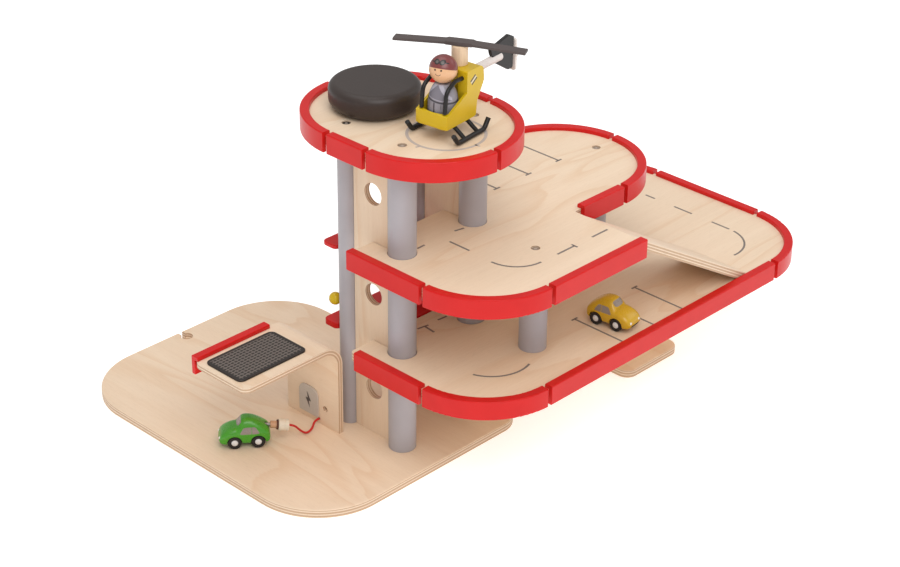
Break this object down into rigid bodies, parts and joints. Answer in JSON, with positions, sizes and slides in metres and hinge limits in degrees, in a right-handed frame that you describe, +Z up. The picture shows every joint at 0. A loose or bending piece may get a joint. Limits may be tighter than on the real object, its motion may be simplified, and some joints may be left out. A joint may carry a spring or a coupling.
{
  "type": "toy parking garage",
  "caption": "Wooden toy parking garage with a hand-wound lift between decks, a ramp, a charging canopy, small cars and a helicopter.",
  "frame": {"origin": "middle of the footprint at ground level", "axes": "+X along the long decks towards their round end, +Y to the back, where the charging base reaches out, +Z up"},
  "size_m": [0.5966, 0.4441, 0.3924],
  "materials": {
    "plywood": "satin",
    "red_paint": "gloss",
    "grey_paint": "satin",
    "light_wood": "satin",
    "skin_wood": "satin",
    "black_screw": "satin",
    "dark_cell": "satin",
    "sign_wood": "satin",
    "red_cord": "matte",
    "cream_wood": "satin",
    "dark_tip": "satin",
    "pale_cord": "matte",
    "dark_knob": "satin",
    "yellow_paint": "gloss",
    "dark_rotor": "satin",
    "pale_boom": "satin",
    "black_trim": "satin",
    "black_rubber": "satin",
    "pilot_grey": "satin",
    "green_paint": "gloss",
    "wheels": "satin"
  },
  "bodies": {
    "garage": {"base_board": "plywood", "foot_board": "plywood", "lower_deck": "plywood", "middle_deck": "plywood", "top_deck": "plywood", "ramp_board": "plywood", "left_tower_panel": "plywood", "right_tower_panel": "plywood", "canopy": "plywood", "lower_left_fence": "red_paint", "lower_front_fence": "red_paint", "lower_right_fence": "red_paint", "lower_back_fence": "red_paint", "lower_corner_fences": "red_paint", "middle_left_fence": "red_paint", "middle_front_fence": "red_paint", "middle_notch_fence": "red_paint", "middle_back_fence": "red_paint", "middle_corner_fences": "red_paint", "top_side_fences": "red_paint", "top_corner_fences": "red_paint", "canopy_fascia": "red_paint", "tower_posts": "grey_paint", "guide_rods": "grey_paint", "deck_posts": "grey_paint", "foot_post": "grey_paint", "cord_bar": "light_wood", "deck_screws": "black_screw", "solar_panel": "dark_cell", "charger_sign": "sign_wood", "charger_cord": "red_cord", "charger_plug": "cream_wood", "charger_tip": "dark_tip", "hoist_run": "pale_cord", "hoist_cord": "pale_cord"},
    "winder": {"winding_knob": "dark_knob", "knob_spindle": "light_wood", "hoist_spool": "light_wood", "hoist_winding": "pale_cord"},
    "lift_cab": {"cab_floor": "red_paint", "cab_roof": "red_paint", "cab_posts": "light_wood", "cab_knob": "yellow_paint"},
    "helicopter": {"helicopter_body": "yellow_paint", "rotor_mast": "light_wood", "tail_boom": "pale_boom", "tail_fin": "black_trim", "landing_skids": "black_trim", "cockpit_bars": "black_rubber"},
    "rotor": {"main_rotor": "dark_rotor"},
    "rear_rotor": {"tail_rotor": "pale_boom"},
    "pilot": {"pilot_body": "pilot_grey", "pilot_head": "skin_wood"},
    "green_car": {"green_car_body": "green_paint"},
    "green_front_axle": {"green_front_wheels": "wheels"},
    "green_rear_axle": {"green_rear_wheels": "wheels"},
    "yellow_car": {"yellow_car_body": "yellow_paint"},
    "yellow_front_axle": {"yellow_front_wheels": "wheels"},
    "yellow_rear_axle": {"yellow_rear_wheels": "wheels"}
  },
  "joints": [
    {"name": "knob_turn", "type": "hinge", "parent": "garage", "child": "winder", "pos_m": [-0.1124, -0.00795, 0.32], "axis": [0, 0, 1], "range_deg": [-418, 447]},
    {"name": "lift_slide", "type": "slide", "parent": "garage", "child": "lift_cab", "axis": [0, 0, 1], "range_m": [-0.0935, 0.1], "deforming": ["hoist_cord"]},
    {"name": "helicopter_lift", "type": "slide", "parent": "garage", "child": "helicopter", "axis": [0, 0, 1], "range_m": [0, 0.12]},
    {"name": "rotor_spin", "type": "hinge", "parent": "helicopter", "child": "rotor", "pos_m": [-0.08899, -0.08819, 0.389], "axis": [0, 0, 1], "continuous": true},
    {"name": "tail_rotor_spin", "type": "hinge", "parent": "helicopter", "child": "rear_rotor", "pos_m": [-0.00964, -0.07802, 0.3538], "axis": [0.9919, 0.1271, 0], "continuous": true},
    {"name": "pilot_turn", "type": "hinge", "parent": "helicopter", "child": "pilot", "pos_m": [-0.1118, -0.09111, 0.343], "axis": [0, 0, 1], "continuous": true},
    {"name": "green_roll", "type": "slide", "parent": "garage", "child": "green_car", "axis": [-0.788, 0.6157, 0], "range_m": [0, 0.05]},
    {"name": "green_front_spin", "type": "hinge", "parent": "green_car", "child": "green_front_axle", "pos_m": [-0.25891, 0.0291, 0.01555], "axis": [-0.6157, -0.788, 0], "range_deg": [0, 460]},
    {"name": "green_rear_spin", "type": "hinge", "parent": "green_car", "child": "green_rear_axle", "pos_m": [-0.24189, 0.0158, 0.01555], "axis": [-0.6157, -0.788, 0], "range_deg": [0, 460]},
    {"name": "yellow_roll", "type": "slide", "parent": "garage", "child": "yellow_car", "axis": [0.1323, -0.9912, 0], "range_m": [-0.08, 0.003]},
    {"name": "yellow_front_spin", "type": "hinge", "parent": "yellow_car", "child": "yellow_front_axle", "pos_m": [0.02113, -0.19235, 0.11555], "axis": [0.9912, 0.1323, 0], "range_deg": [-735, 30]},
    {"name": "yellow_rear_spin", "type": "hinge", "parent": "yellow_car", "child": "yellow_rear_axle", "pos_m": [0.01827, -0.17095, 0.11555], "axis": [0.9912, 0.1323, 0], "range_deg": [-735, 30]}
  ],
  "couplings": [
    {"joint": "lift_slide", "follows": "knob_turn", "m_per_rad": 0.0128},
    {"joint": "green_front_spin", "follows": "green_roll", "rad_per_m": 160},
    {"joint": "green_rear_spin", "follows": "green_roll", "rad_per_m": 160},
    {"joint": "yellow_front_spin", "follows": "yellow_roll", "rad_per_m": 160},
    {"joint": "yellow_rear_spin", "follows": "yellow_roll", "rad_per_m": 160}
  ]
}
